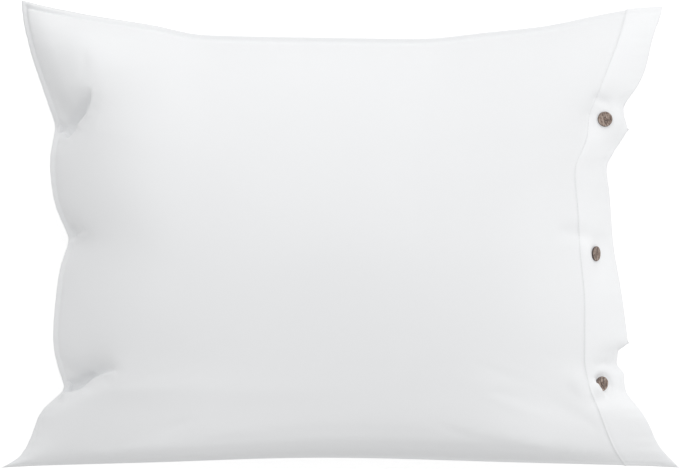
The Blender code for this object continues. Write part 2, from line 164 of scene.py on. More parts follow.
# The cloth at the hem's stitching, where its doubled cloth begins.
HEM_STEP_WIDTH = 4.5 * MM
HEM_STEP_FADE = 25 * MM  # how far out the step runs level again
HEM_GROOVE_WIDTH = 1.2 * MM
HEM_TINT_WIDTH = 1.5 * MM  # over which the hem's cloth turns to its painted highlight, a whiter tone
LOW_HEM_START = 130 * MM  # below the middle, where the hem starts to lie flatter
LOW_HEM_BLEND = 60 * MM
LOW_STEP_LESS = 0.7  # share of the step that is gone there
LOW_FILL_MORE = 0.4  # share by which the groove is filled further there

# The small puckers: the lengths of two ripples along a seam, and what wanders them about.
Ripple = namedtuple("Ripple", "size length wander turns shift")
RIPPLES = [
    Ripple(1.0, 13.5 * MM, 3, 31, 0),
    Ripple(0.6, 8.3 * MM, 2, 47, 1),
]
PUCKER_SIDES = 240 * MM  # how far from the middle the seams run along Y
PUCKER_INSET = 7 * MM  # from the rim to where they are highest
PUCKER_WIDTH = 9 * MM
PUCKER_START = 2 * MM  # from the rim to where they start
PUCKER_LEVEL = 4 * MM  # height over the bed from which they show
HEM_PUCKER_WIDTH = 5 * MM
SEAM_SHARE = 0.8  # of their height, beside the seams
HEM_SHARE = 0.5  # and beside the hem's stitching

# How the cloth is held while it is filled: fully up to one distance from a mark, and less and
# less over the second distance.
Hold = namedtuple("Hold", "full fading")
RIM_HOLD = Hold(5 * MM, 45 * MM)
BUTTON_HOLD = Hold(14 * MM, 18 * MM)
CREASE_HOLD = Hold(0, 22 * MM)
BED_HOLD = Hold(0, 6 * MM)
SLACK_START = 0.15  # upward part of the normal below which the cloth has some slack
SLACK_BLEND = 0.4  # how much further that part falls until the slack is whole

# Points of the case's outline that stay sharp, in millimetres.
SHARP_POINTS = [
    (-348, -239.5), (-275, -6), (-290, 110), (-326, 239.5), (330, 233), (288, 131),
    (294, 106), (270, 69), (281, -133), (294, -111), (348, -239.5),
]
SHARP_REACH = 0.2 * MM  # how near such a point a vertex is taken to be it
MERGE_REACH = 0.02 * MM  # vertices nearer to each other are made one

# The buttons: how far a face leans towards the mouth, nods to the top and is turned, in degrees.
Button = namedtuple("Button", "lean nod spin")
BUTTONS = {
    "button_upper": Button(13, 3, 8),
    "button_middle": Button(59, 0, -6),
    "button_lower": Button(34, -6, 20),
}


# Settings

LENGTH = {"subtype": "DISTANCE", "unit": "LENGTH"}
COLOUR = {"subtype": "COLOR", "size": 3}


class PILLOWCASE_PG_cloth(bpy.types.PropertyGroup):
    colour: FloatVectorProperty(
        name="Cotton colour", default=(0.86, 0.868, 0.878),
        description="Colour of the bleached cotton", **COLOUR,
    )
    thread_pitch: FloatProperty(
        name="Thread pitch", default=0.0004,
        description="Distance between neighbouring threads of the weave", **LENGTH,
    )
    thread_height: FloatProperty(
        name="Thread height", default=0.00006,
        description="How far a thread stands out where it passes over another", **LENGTH,
    )
    pressure: FloatProperty(
        name="Filling pressure", default=4.0,
        description="How hard the pillow presses the cloth outwards",
    )
    spare: FloatProperty(
        name="Spare cloth", default=0.03,
        description="Share by which the back's cloth is larger than the form it is drawn over",
    )
    front_movement: FloatProperty(
        name="Front movement", default=0.0015,
        description="The furthest that the filling may move a point of the smooth front", **LENGTH,
    )
    back_movement: FloatProperty(
        name="Back movement", default=0.006,
        description="The furthest that the filling may move a point of the slack back", **LENGTH,
    )
    frames: IntProperty(
        name="Frames", default=20,
        description="Length of the filling simulation",
    )
    seam_depth: FloatProperty(
        name="Seam crease", default=0.0032,
        description="Depth of the crease along the seams where it is deepest", **LENGTH,
    )
    border_lift: FloatProperty(
        name="Border lift",
        description="How much the border outside the seam turns up at the upper left corner",
        default=0.0014,
        **LENGTH,
    )
    left_droop: FloatProperty(
        name="Left droop", default=0.005,
        description="How much lower the left seam hangs below its upper corner", **LENGTH,
    )
    hem_fill: FloatProperty(
        name="Hem fill", default=0.00045,
        description="How much the stitching's groove is softened", **LENGTH,
    )
    hem_rise: FloatProperty(
        name="Hem rise", default=0.0013,
        description="How much the hem's doubled cloth stands over the cloth beside it", **LENGTH,
    )
    pucker: FloatProperty(
        name="Seam pucker", default=0.00012,
        description="Height of the small puckers along the seams", **LENGTH,
    )


class PILLOWCASE_PG_stitching(bpy.types.PropertyGroup):
    colour: FloatVectorProperty(
        name="Thread colour", default=(0.83, 0.83, 0.84),
        description="Colour of the sewing thread in the hem", **COLOUR,
    )
    length: FloatProperty(
        name="Stitch length", default=0.0026,
        description="Length of the thread that shows in one stitch", **LENGTH,
    )
    spacing: FloatProperty(
        name="Stitch spacing", default=0.0032,
        description="Distance from the start of a stitch to the start of the next", **LENGTH,
    )
    thickness: FloatProperty(
        name="Thread thickness", default=0.00045,
        description="Diameter of the sewing thread", **LENGTH,
    )


class PILLOWCASE_PG_buttons(bpy.types.PropertyGroup):
    radius: FloatProperty(
        name="Radius", description="Radius of a button", default=0.0076, **LENGTH
    )
    thickness: FloatProperty(
        name="Thickness", description="Thickness of a button at its rim", default=0.0024, **LENGTH
    )
    rim_width: FloatProperty(
        name="Rim width", description="Width of the raised rim", default=0.0016, **LENGTH
    )
    dish_depth: FloatProperty(
        name="Dish depth", default=0.0006,
        description="How far the face lies below the rim", **LENGTH,
    )
    hole_radius: FloatProperty(
        name="Hole radius", description="Radius of a thread hole", default=0.0008, **LENGTH
    )
    hole_offset: FloatProperty(
        name="Hole offset", default=0.0015,
        description="Distance of a thread hole from the button's middle", **LENGTH,
    )
    shell_colour: FloatVectorProperty(
        name="Shell colour", default=(0.215, 0.155, 0.125),
        description="Main colour of the polished shell", **COLOUR,
    )
    dark_colour: FloatVectorProperty(
        name="Dark grain", default=(0.075, 0.052, 0.045),
        description="Colour of the shell's dark streaks", **COLOUR,
    )
    pale_colour: FloatVectorProperty(
        name="Pale grain", default=(0.43, 0.35, 0.30),
        description="Colour of the shell's pale streaks", **COLOUR,
    )
    # The dark low on a button's side is partly the shell's dark outer skin and partly painted
    # shade.
    bark_and_shade_height: FloatProperty(
        name="Bark height", default=0.002,
        description="How far the dark bark reaches up the button's side", **LENGTH,
    )
    thread_colour: FloatVectorProperty(
        name="Thread colour", default=(0.30, 0.22, 0.18),
        description="Colour of the thread that holds a button", **COLOUR,
    )


class PILLOWCASE_PG_studio(bpy.types.PropertyGroup):
    camera_distance: FloatProperty(
        name="Camera distance", default=8.0,
        description="Height of the camera over the framed level", **LENGTH,
    )
    framed_level: FloatProperty(
        name="Framed level", default=0.06,
        description="Height at which the picture spans the framed width", **LENGTH,
    )
    framed_width: FloatProperty(
        name="Framed width", default=0.6936,
        description="Width of the picture at the framed level", **LENGTH,
    )
    camera_shift: FloatProperty(
        name="Camera shift",
        description="How far the camera stands to the side of the middle, towards the top seam",
        default=-0.0005,
        **LENGTH,
    )
    floor_size: FloatProperty(
        name="Floor size", description="Side of the floor", default=100.0, **LENGTH
    )
    floor_glow: FloatProperty(
        name="Floor glow", default=0.62,
        description="Light that the floor gives off, which falls on no piece and keeps it white",
    )
    floor_shade: FloatProperty(
        name="Floor shade", default=0.63,
        description="Share of the light that the floor returns",
    )
    sky_strength: FloatProperty(
        name="Sky strength", default=0.665,
        description="Brightness of the soft light from all round",
    )
    sky_sides: FloatVectorProperty(
        name="Sky sides",
        description="How much brighter the soft light is straight from +X, +Y, -X and -Y",
        size=4,
        default=(0.546, 0.81, 0.0, 0.0),
    )


# Helpers for pieces and meshes

VERTICES = (True, False, False)
EDGES = (False, True, False)
FACES = (False, False, True)


def added(name, data):
    """A new object in the scene."""
    piece = bpy.data.objects.new(name, data)
    bpy.context.scene.collection.objects.link(piece)
    return piece


def only(piece):
    """Makes a piece the one selected and active object."""
    bpy.ops.object.select_all(action="DESELECT")
    piece.select_set(True)
    bpy.context.view_layer.objects.active = piece


@contextmanager
def editing(piece, select_mode=VERTICES):
    """Edit mode on one piece, with what was selected in code."""
    only(piece)
    bpy.context.tool_settings.mesh_select_mode = select_mode
    bpy.ops.object.mode_set(mode="EDIT")
    yield
    bpy.ops.object.mode_set(mode="OBJECT")


def select_chosen_vertices(piece):
    """Makes edge and face selection follow the vertices chosen in code."""
    chosen = {vertex.index for vertex in piece.data.vertices if vertex.select}
    for edge in piece.data.edges:
        edge.select = set(edge.vertices) <= chosen
    for face in piece.data.polygons:
        face.select = set(face.vertices) <= chosen


def points_of(mesh):
    """The vertices' places, one row each."""
    flat = np.empty(len(mesh.vertices) * 3)
    mesh.vertices.foreach_get("co", flat)
    return flat.reshape(-1, 3)


def move_points(mesh, points):
    """Puts the vertices at new places."""
    mesh.vertices.foreach_set("co", np.ascontiguousarray(points).ravel())
    mesh.update()


def normals_of(mesh):
    """The vertices' normals, one row each."""
    flat = np.empty(len(mesh.vertices) * 3)
    mesh.vertex_normals.foreach_get("vector", flat)
    return flat.reshape(-1, 3)


def subdivide(piece):
    """Applies one level of subdivision surface, which keeps the outline's sharp points."""
    mesh = piece.data
    if "crease_vert" in mesh.attributes:
        mesh.attributes.remove(mesh.attributes["crease_vert"])
    away = points_of(mesh)[:, None, :2] - np.array(SHARP_POINTS) * MM
    is_sharp = np.linalg.norm(away, axis=2).min(axis=1) < SHARP_REACH
    mesh.vertices.foreach_set("select", is_sharp)
    select_chosen_vertices(piece)
    with editing(piece):
        bpy.ops.transform.vert_crease(value=1.0)
    surface = piece.modifiers.new("smooth", "SUBSURF")
    surface.levels = surface.render_levels = 1
    bpy.ops.object.modifier_apply(modifier=surface.name)


def eased(share):
    """A share eased from 0 to 1."""
    share = np.clip(share, 0, 1)
    return share * share * (3 - 2 * share)


def bell(distance, spread):
    """A share that falls smoothly from 1 as a distance grows past a spread."""
    return np.exp(-((distance / spread) ** 2))


def beside_path(places, path):
    """How far along a path each place is, from 0 to 1, and how far to its left."""
    path = np.array(path, float)
    lengths = np.linalg.norm(np.diff(path, axis=0), axis=1)
    starts = np.append(0, np.cumsum(lengths))
    nearest = np.full(len(places), np.inf)
    left, along = np.zeros_like(nearest), np.zeros_like(nearest)
    for start, end, length, before in zip(path, path[1:], lengths, starts):
        way = (end - start) / length
        reach = np.clip((places - start) @ way, 0, length)
        away = places - start - reach[:, None] * way
        distance = np.linalg.norm(away, axis=1)
        side = np.sign(way[0] * away[:, 1] - way[1] * away[:, 0])
        closer = distance < nearest
        nearest = np.where(closer, distance, nearest)
        left = np.where(closer, side * distance, left)
        along = np.where(closer, (before + reach) / starts[-1], along)
    return along, left


# Helpers for materials


class Nodes:
    """The means to add nodes to a tree."""

    def __init__(self, tree):
        self.tree = tree

    def node(self, kind, inputs=(), **settings):
        """Adds a node, and gives its numbered inputs values or links."""
        made = self.tree.nodes.new("ShaderNode" + kind)
        for name, value in settings.items():
            setattr(made, name, value)
        for socket, value in dict(inputs).items():
            self.feed(made.inputs[socket], value)
        return made

    def feed(self, socket, value):
        """Links a node's output to a socket, or sets the socket to a value."""
        if isinstance(value, bpy.types.NodeSocket):
            self.tree.links.new(value, socket)
        else:
            socket.default_value = value

    def maths(self, operation, first, second=0.0, third=0.0):
        """One sum, and its result."""
        inputs = {0: first, 1: second, 2: third}
        return self.node("Math", inputs, operation=operation).outputs[0]

    def noise(self, vector, scale, detail=2.0, roughness=0.5):
        """Noise from 0 to 1."""
        inputs = {"Vector": vector, "Scale": scale, "Detail": detail, "Roughness": roughness}
        return self.node("TexNoise", inputs).outputs["Fac"]

    def blend(self, share, first, second):
        """A colour between two colours."""
        return self.node("Mix", {0: share, 6: first, 7: second}, data_type="RGBA").outputs[2]

    def bump(self, height, distance, strength=1.0, normal=None):
        """A bump over another bump."""
        inputs = {"Height": height, "Distance": distance, "Strength": strength}
        if normal is not None:
            inputs["Normal"] = normal
        return self.node("Bump", inputs).outputs["Normal"]


class Shader(Nodes):
    """A new Principled material and its nodes."""

    def __init__(self, name):
        self.material = bpy.data.materials.new(name)
        self.material.use_nodes = True
        super().__init__(self.material.node_tree)
        self.principled = self.tree.nodes["Principled BSDF"]

    def set(self, **values):
        """Sets the shader's own sockets, named with underscores for spaces."""
        for name, value in values.items():
            self.principled.inputs[name.replace("_", " ")].default_value = value

    def link(self, **outputs):
        """Links nodes to the shader's sockets, named in the same way."""
        for name, output in outputs.items():
            self.feed(self.principled.inputs[name.replace("_", " ")], output)


def opaque(colour, gain=1.0):
    """A colour with its alpha, made lighter or darker."""
    return tuple(gain * channel for channel in colour[:3]) + (1.0,)


def cotton_material(settings):
    """Bleached cotton percale: a fine plain weave, a dry sheen, a faint unevenness and a hem
    painted whiter as a painted highlight.
    """
    shader = Shader("cotton_percale")
    place = shader.node("TexCoord").outputs["Object"]
    woven = shader.node("UVMap", uv_map="weave").outputs["UV"]
    split = shader.node("SeparateXYZ", {0: woven}).outputs
    turn = pi / settings.thread_pitch
    slub = shader.maths("MULTIPLY_ADD", shader.noise(woven, scale=900.0, detail=1.0), 0.5, 0.75)
    across = shader.maths("SINE", shader.maths("MULTIPLY", split[0], turn))
    down = shader.maths("SINE", shader.maths("MULTIPLY", split[1], turn))
    crossing = shader.maths("MULTIPLY", across, down)
    thread = shader.maths("MULTIPLY", shader.maths("ABSOLUTE", crossing), slub)

    handled = shader.noise(place, scale=9.0, detail=3.0, roughness=0.45)
    crumpled = shader.noise(place, scale=60.0, roughness=0.4)
    soft = shader.bump(handled, distance=0.0012, strength=0.35)
    soft = shader.bump(crumpled, distance=0.0002, strength=0.35, normal=soft)
    weave = shader.bump(thread, settings.thread_height, strength=0.5, normal=soft)

    hem = shader.node("Attribute", attribute_name="hem").outputs["Fac"]
    white = shader.blend(handled, opaque(settings.colour, 0.985), opaque(settings.colour, 1.01))
    # Painted highlight: the hem's cloth is painted 3 % whiter for the light it catches.
    hem_painted_whiter = shader.blend(hem, white, opaque(settings.colour, 1.03))
    gaps = shader.maths("MULTIPLY_ADD", thread, 0.06, 0.97)
    tinted = shader.node(
        "Mix", {0: 1.0, 6: hem_painted_whiter, 7: gaps}, data_type="RGBA", blend_type="MULTIPLY"
    )
    shader.link(Base_Color=tinted.outputs[2], Normal=weave)
    shader.set(
        Roughness=0.9,
        Metallic=0.0,
        Specular_IOR_Level=0.18,
        Sheen_Weight=0.12,
        Sheen_Roughness=0.6,
    )
    return shader.material


def thread_material(name, colour):
    """Twisted sewing thread."""
    shader = Shader(name)
    place = shader.node("TexCoord").outputs["Object"]
    strands = shader.noise(place, scale=4000.0, detail=1.0)
    shader.link(
        Base_Color=shader.blend(strands, opaque(colour, 0.9), opaque(colour, 1.06)),
        Normal=shader.bump(strands, distance=0.00008, strength=0.5),
    )
    shader.set(Roughness=0.75, Specular_IOR_Level=0.25, Sheen_Weight=0.1)
    return shader.material


def shell_material(settings):
    """Polished shell with streaks of dark and pale grain, and dark low on its side: the shell's
    dark outer skin, with painted shade for the shade that falls on the side.
    """
    shader = Shader("polished_shell")
    place = shader.node("Attribute", attribute_name="turned_place").outputs["Vector"]
    stretch = shader.node("Mapping", {"Vector": place, "Scale": (0.28, 1.0, 1.0)}).outputs[0]
    # Painted shade: the button's side is painted dark, partly its real dark outer skin.
    bark_and_shade = shader.node("Attribute", attribute_name="bark_and_shade").outputs["Fac"]
    streaks = shader.noise(stretch, scale=560.0, detail=4.0, roughness=0.62)
    patches = shader.noise(place, scale=210.0)
    flecks = shader.noise(stretch, scale=900.0)

    grain = shader.node("ValToRGB", {0: streaks})
    ramp = grain.color_ramp
    ramp.elements[0].position = 0.40
    ramp.elements[0].color = opaque(settings.dark_colour)
    ramp.elements[1].position = 0.62
    ramp.elements[1].color = opaque(settings.pale_colour)
    middle = ramp.elements.new(0.5)
    middle.color = opaque(settings.shell_colour)
    patch_share = shader.maths("MULTIPLY", patches, 0.4)
    greyed = shader.blend(patch_share, grain.outputs[0], opaque(settings.shell_colour, 1.25))
    fleck_share = shader.maths("MULTIPLY", shader.maths("GREATER_THAN", flecks, 0.62), 0.6)
    flecked = shader.blend(fleck_share, greyed, opaque(settings.pale_colour, 1.3))
    # The side is painted darker than the dark grain: painted shade over the shell's dark outer
    # skin.
    shader.link(
        Base_Color=shader.blend(bark_and_shade, flecked, opaque(settings.dark_colour, 0.8)),
        Roughness=shader.maths("MULTIPLY_ADD", streaks, 0.3, 0.28),
        Normal=shader.bump(streaks, distance=0.00012, strength=0.5),
    )
    shader.set(Specular_IOR_Level=0.45, Coat_Weight=0.15, Coat_Roughness=0.25)
    return shader.material


# The cloth


def copy_of_node(node, name):
    """A piece with a CAD node's form, made one skin of mostly four-sided faces."""
    piece = added(name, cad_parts[node].data.copy())
    piece.data.name = name
    piece.data.materials.clear()
    with editing(piece):
        bpy.ops.mesh.select_all(action="SELECT")
        bpy.ops.mesh.customdata_custom_splitnormals_clear()
        bpy.ops.mesh.remove_doubles(threshold=MERGE_REACH)
        bpy.ops.mesh.tris_convert_to_quads(
            face_threshold=radians(180), shape_threshold=radians(180)
        )
    return piece


def rim_edges(mesh):
    """The edges where the front cloth ends at the seams and the mouth."""
    upward = normals_of(mesh)[:, 2] > 0
    below = {}
    for face in mesh.polygons:
        all_up = bool(upward[list(face.vertices)].all())
        for key in face.edge_keys:
            below.setdefault(key, set()).add(all_up)
    return [
        edge
        for edge in mesh.edges
        if upward[list(edge.vertices)].all() and below[edge.key] == {True, False}
    ]


def lay_weave(piece):
    """A UV map in metres, cut at the rim, along which the weave runs."""
    mesh = piece.data
    for edge in rim_edges(mesh):
        edge.use_seam = True
    mesh.uv_layers.new(name="weave")
    with editing(piece):
        bpy.ops.mesh.select_all(action="SELECT")
        bpy.ops.uv.unwrap(method="ANGLE_BASED", margin=0.001)
    flat = np.empty(len(mesh.loops) * 2)
    layer = mesh.uv_layers["weave"].uv
    layer.foreach_get("vector", flat)
    uv = flat.reshape(-1, 2)
    drawn = 0.0
    for face in mesh.polygons:
        corner = uv[list(face.loop_indices)]
        after = np.roll(corner, -1, axis=0)
        drawn += abs(np.sum(corner[:, 0] * after[:, 1] - corner[:, 1] * after[:, 0])) / 2
    real = sum(face.area for face in mesh.polygons)
    layer.foreach_set("vector", (uv * np.sqrt(real / drawn)).ravel())


def rim_points(mesh):
    """Points close together along the rim."""
    points = points_of(mesh)
    ends = points[[list(edge.vertices) for edge in rim_edges(mesh)]]
    shares = np.linspace(0, 1, RIM_SAMPLES, endpoint=False)[:, None, None]
    return (ends[:, 0] + shares * (ends[:, 1] - ends[:, 0])).reshape(-1, 3)


def distance_from(points, marks):
    """How far each point is from the nearest of some marks."""
    tree = KDTree(len(marks))
    for number, mark in enumerate(marks):
        tree.insert(mark, number)
    tree.balance()
    return np.array([tree.find(point)[2] for point in points])


def crease_strength(crease, along):
    """How strong a crease is along its line."""
    return 1 - along**4 if crease.from_edge else np.sin(pi * along)


def held_near(distance, hold):
    """How firmly the cloth is held at a distance from a mark, from 0 to 1."""
    return 1 - eased((distance - hold.full) / hold.fading)


def hold_cloth(points, rim):
    """How firmly each point is held while the pillow fills the case, from 0 to 1."""
    held = held_near(distance_from(points, rim), RIM_HOLD)
    for name in BUTTONS:
        low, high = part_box(name)
        away = np.linalg.norm(points - np.array((low + high) / 2), axis=1)
        held = np.maximum(held, held_near(away, BUTTON_HOLD))
    on_front = points[:, 2] > SEAM_LEVEL
    for crease in CREASES.values():
        _, left = beside_path(points[:, :2] / MM, crease.path)
        held = np.maximum(held, held_near(np.abs(left) * MM, CREASE_HOLD) * on_front)
    resting = held_near(points[:, 2], BED_HOLD)
    return np.clip(np.maximum(held, resting), 0, 1)


def add_weights(piece, name, weights):
    """A vertex group with a weight for each point."""
    group = piece.vertex_groups.new(name=name)
    for number, weight in enumerate(weights):
        group.add([number], float(weight), "REPLACE")


def fill_case(piece, rim, settings):
    """Swells the cloth with the pillow's pressure, so that the back settles into soft folds."""
    mesh = piece.data
    before = points_of(mesh)
    slack = eased((SLACK_START - normals_of(mesh)[:, 2]) / SLACK_BLEND)
    add_weights(piece, "held", hold_cloth(before, rim))
    add_weights(piece, "slack", slack)
    only(piece)
    cloth = piece.modifiers.new("filling", "CLOTH")
    cloth.settings.use_pressure = True
    cloth.settings.uniform_pressure_force = settings.pressure
    cloth.settings.vertex_group_mass = "held"
    cloth.settings.vertex_group_shrink = "slack"
    cloth.settings.shrink_min = 0.0
    cloth.settings.shrink_max = -settings.spare
    cloth.settings.tension_stiffness = 25
    cloth.settings.compression_stiffness = 25
    cloth.settings.bending_stiffness = 0.4
    cloth.settings.effector_weights.gravity = 0
    cloth.collision_settings.use_collision = False
    cloth.point_cache.frame_start = 1
    cloth.point_cache.frame_end = settings.frames
    for number in range(1, settings.frames + 1):
        bpy.context.scene.frame_set(number)
    bpy.ops.object.modifier_apply(modifier=cloth.name)
    bpy.context.scene.frame_set(1)
    moved = points_of(mesh) - before
    length = np.linalg.norm(moved, axis=1, keepdims=True)
    most = settings.front_movement * (1 - slack) + settings.back_movement * slack
    allowed = most[:, None] * np.tanh(length / most[:, None])
    move_points(mesh, before + moved * allowed / np.maximum(length, 1e-9))
    piece.vertex_groups.clear()


def on_the_front(points, normals):
    """Whether each point belongs to the front cloth."""
    return (points[:, 2] > SEAM_LEVEL) & (normals[:, 2] > 0)


def refine_creases(piece):
    """Makes the front's mesh finer along the sharp creases."""
    mesh = piece.data
    points = points_of(mesh)
    near = np.zeros(len(points), bool)
    for crease in CREASES.values():
        near |= np.abs(beside_path(points[:, :2] / MM, crease.path)[1]) < FINE_REACH
    near |= np.linalg.norm(points[:, :2] / MM - (COVER.x, COVER.y), axis=1) < FINE_REACH
    near &= on_the_front(points, normals_of(mesh))
    mesh.vertices.foreach_set("select", near)
    select_chosen_vertices(piece)
    with editing(piece):
        bpy.ops.mesh.subdivide(number_cuts=1, smoothness=0.0)


def cover_rise(points):
    """How high the fold over the lower button stands at each point."""
    way = np.array((cos(radians(COVER.way)), sin(radians(COVER.way))))
    offset = points[:, :2] / MM - (COVER.x, COVER.y)
    away = offset @ way
    along = offset @ np.array((-way[1], way[0]))
    edge = eased(away / COVER_SHARPNESS + 0.5)
    profile = edge * bell(np.maximum(away, 0), COVER.away)
    return COVER.rise * MM * profile * bell(along, COVER.along)


def fold_creases(piece, rim):
    """Presses the fine creases and the soft hollows into the front."""
    mesh = piece.data
    points, normals = points_of(mesh), normals_of(mesh)
    on_front = on_the_front(points, normals) * eased(distance_from(points, rim) / (RIM_REACH * MM))
    rise = np.zeros(len(points))
    for hollow in HOLLOWS.values():
        along, left = beside_path(points[:, :2] / MM, hollow.path)
        rise -= hollow.depth * bell(left, hollow.spread) * crease_strength(hollow, along)
    for crease in CREASES.values():
        along, left = beside_path(points[:, :2] / MM, crease.path)
        inside = (1 + np.tanh(left / CREASE_SHARPNESS)) / 2
        sunk = -crease.depth * inside * bell(np.maximum(left, 0), crease.spread)
        lip = crease.lip * (1 - inside) * bell(np.minimum(left, 0), crease.lip_spread)
        rise += (sunk + lip) * crease_strength(crease, along)
    cover = cover_rise(points) * on_front
    points += normals * (rise * on_front * MM)[:, None]
    points[:, 2] += cover
    move_points(mesh, points)


def hem_x(heights):
    """How far out the hem's stitching lies at some heights, on a curve through its points."""
    y, x = np.array(HEM_LINE, float).T * MM
    width = np.diff(y)
    chord = np.diff(x) / width
    before, after = chord[:-1], chord[1:]
    same_way = before * after > 0
    smooth = np.where(same_way, 2 * before * after / np.where(same_way, before + after, 1), 0)
    slope = np.concatenate([chord[:1], smooth, chord[-1:]])
    piece = np.clip(np.searchsorted(y, heights, side="right") - 1, 0, len(width) - 1)
    t = np.clip((heights - y[piece]) / width[piece], 0, 1)
    return (
        x[piece] * (1 + 2 * t) * (1 - t) ** 2
        + x[piece + 1] * t * t * (3 - 2 * t)
        + width[piece] * (slope[piece] * t * (1 - t) ** 2 - slope[piece + 1] * t * t * (1 - t))
    )


def hem_offset(points):
    """How far each point lies from the hem's stitching, towards the mouth."""
    return points[:, 0] - hem_x(points[:, 1])


def hem_rise(points, settings):
    """How much the cloth stands up at the hem: its step, and what fills its groove."""
    offset = hem_offset(points)
    step = eased(offset / HEM_STEP_WIDTH + 0.5) * np.exp(-np.maximum(offset, 0) / HEM_STEP_FADE)
    low = eased((-LOW_HEM_START - points[:, 1]) / LOW_HEM_BLEND)
    step = settings.hem_rise * step * (1 - LOW_STEP_LESS * low)
    fill = settings.hem_fill * bell(offset, HEM_GROOVE_WIDTH) * (1 + LOW_FILL_MORE * low)
    return step + fill


def press_seams(piece, rim, settings):
    """Sinks a crease along the seams, steps the cloth up to the hem and bends the rim."""
    mesh = piece.data
    points, normals = points_of(mesh), normals_of(mesh)
    from_seam = distance_from(points, rim[hem_offset(rim) < HEM_RIM_REACH])
    from_corner = np.linalg.norm(points[:, :2] - UPPER_LEFT_CORNER, axis=1)
    at_corner = bell(from_corner, CORNER_SPREAD)
    depth = SEAM_DEPTH_ELSEWHERE + (1 - SEAM_DEPTH_ELSEWHERE) * at_corner
    crease = settings.seam_depth * depth * bell(from_seam - SEAM_CREASE_INSET, SEAM_CREASE_WIDTH)
    rise = hem_rise(points, settings) - crease
    points += normals * (rise * on_the_front(points, normals))[:, None]

    at_left = eased(-(points[:, 0] + LEFT_SIDE_START) / LEFT_SIDE_BLEND)
    lift = settings.border_lift * at_corner * np.clip(1 - from_seam / BORDER_REACH, 0, 1)
    droop = settings.left_droop * (1 - at_corner) * np.exp(-from_seam / DROOP_SPREAD)
    points[:, 2] += (lift - droop) * at_left
    for bend in BENDS:
        away = np.linalg.norm(points[:, :2] / MM - (bend.x, bend.y), axis=1)
        move = np.array((bend.right, bend.up, bend.rise)) * MM
        points += bell(away, bend.spread)[:, None] * move
    move_points(mesh, points)


def pucker_seams(piece, rim, settings):
    """Small puckers where the stitching gathers the cloth, along the seams and the hem."""
    mesh = piece.data
    points, normals = points_of(mesh), normals_of(mesh)
    from_rim = distance_from(points, rim)
    at_a_side = np.abs(points[:, 0]) > PUCKER_SIDES
    run = np.where(at_a_side, points[:, 1], points[:, 0])
    ripple = sum(
        part.size
        * np.sin(run * 2 * pi / part.length + part.wander * np.sin(run * part.turns + part.shift))
        for part in RIPPLES
    )
    at_seam = bell(from_rim - PUCKER_INSET, PUCKER_WIDTH) * (from_rim > PUCKER_START)
    at_hem = bell(hem_offset(points), HEM_PUCKER_WIDTH)
    off_the_bed = points[:, 2] > PUCKER_LEVEL
    size = settings.pucker * (SEAM_SHARE * at_seam + HEM_SHARE * at_hem) * off_the_bed
    points += normals * (ripple * size)[:, None]
    move_points(mesh, points)


def mark_hem(mesh):
    """An attribute that is 1 on the hem's doubled cloth, where the cotton is painted whiter as a
    painted highlight.
    """
    layer = mesh.attributes.new("hem", "FLOAT", "POINT")
    inside = eased(hem_offset(points_of(mesh)) / HEM_TINT_WIDTH + 0.5)
    layer.data.foreach_set("value", inside)


class PILLOWCASE_OT_cloth(bpy.types.Operator):
    """Makes the filled cotton case"""

    bl_idname = "pillowcase.cloth"
    bl_label = "Cloth"

    def execute(self, context):
        settings = context.scene.pillowcase_cloth
        piece = copy_of_node("pillowcase", "pillowcase_cloth")
        mesh = piece.data
        lay_weave(piece)
        rim = rim_points(mesh)
        subdivide(piece)
        fill_case(piece, rim, settings)
        subdivide(piece)
        refine_creases(piece)
        fold_creases(piece, rim)
        press_seams(piece, rim, settings)
        pucker_seams(piece, rim, settings)
        mark_hem(mesh)
        mesh.shade_smooth()
        mesh.materials.append(cotton_material(settings))
        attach(piece, "root")
        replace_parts(piece, "pillowcase")
        return {"FINISHED"}


# The hem's stitching

STITCHING_END = 6 * MM  # from each end of the hem's line to the first stitch
STITCHING_SAMPLE = 0.5 * MM  # distance between the places where the cloth is felt
THREAD_RAISE = 0.2  # how far a stitch lies over the cloth, as a share of its thickness


def cloth_tree():
    """The finished cloth, to find its surface."""
    cloth = bpy.data.objects["pillowcase_cloth"]
    bpy.context.view_layer.update()
    return BVHTree.FromObject(cloth, bpy.context.evaluated_depsgraph_get())


def surface_under(tree, x, y, from_above):
    """The cloth's place and normal over or under a point of the plan."""
    start = Vector((x, y, 1.0 if from_above else -1.0))
    place, normal, _, _ = tree.ray_cast(start, Vector((0, 0, -1 if from_above else 1)))
    if place is None:
        raise RuntimeError(f"no cloth at {x:.3f}, {y:.3f}")
    return place, normal


def stitch_places(tree, from_above, spacing):
    """Where the stitches of one hem lie: the middle, the way along and the cloth's normal."""
    low, high = HEM_LINE[0].y * MM + STITCHING_END, HEM_LINE[-1].y * MM - STITCHING_END
    samples = np.arange(low, high, STITCHING_SAMPLE)
    line = [surface_under(tree, x, y, from_above) for x, y in zip(hem_x(samples), samples)]
    walked = 0.0
    places = []
    for (start, _), (end, normal) in zip(line, line[1:]):
        walked += (end - start).length
        if walked >= spacing:
            walked -= spacing
            places.append((end, (end - start).normalized(), normal))
    return places


def stitch_model(settings):
    """One stitch lying along Z: a ball drawn out into a short rounded thread."""
    bpy.ops.mesh.primitive_uv_sphere_add(
        segments=8, ring_count=6, radius=settings.thickness / 2
    )
    stitch = bpy.context.object
    half = (settings.length - settings.thickness) / 2
    for direction in (-1, 1):
        for vertex in stitch.data.vertices:
            vertex.select = direction * vertex.co.z > settings.thickness * 0.05
        select_chosen_vertices(stitch)
        with editing(stitch):
            bpy.ops.transform.translate(value=(0, 0, direction * half))
    return stitch


def joined(pieces, name):
    """Several objects as one piece with its place in its mesh."""
    bpy.ops.object.select_all(action="DESELECT")
    for piece in pieces:
        piece.select_set(True)
    bpy.context.view_layer.objects.active = pieces[0]
    bpy.ops.object.join()
    piece = bpy.context.object
    bpy.ops.object.transform_apply(location=True, rotation=True, scale=True)
    piece.name = piece.data.name = name
    return piece


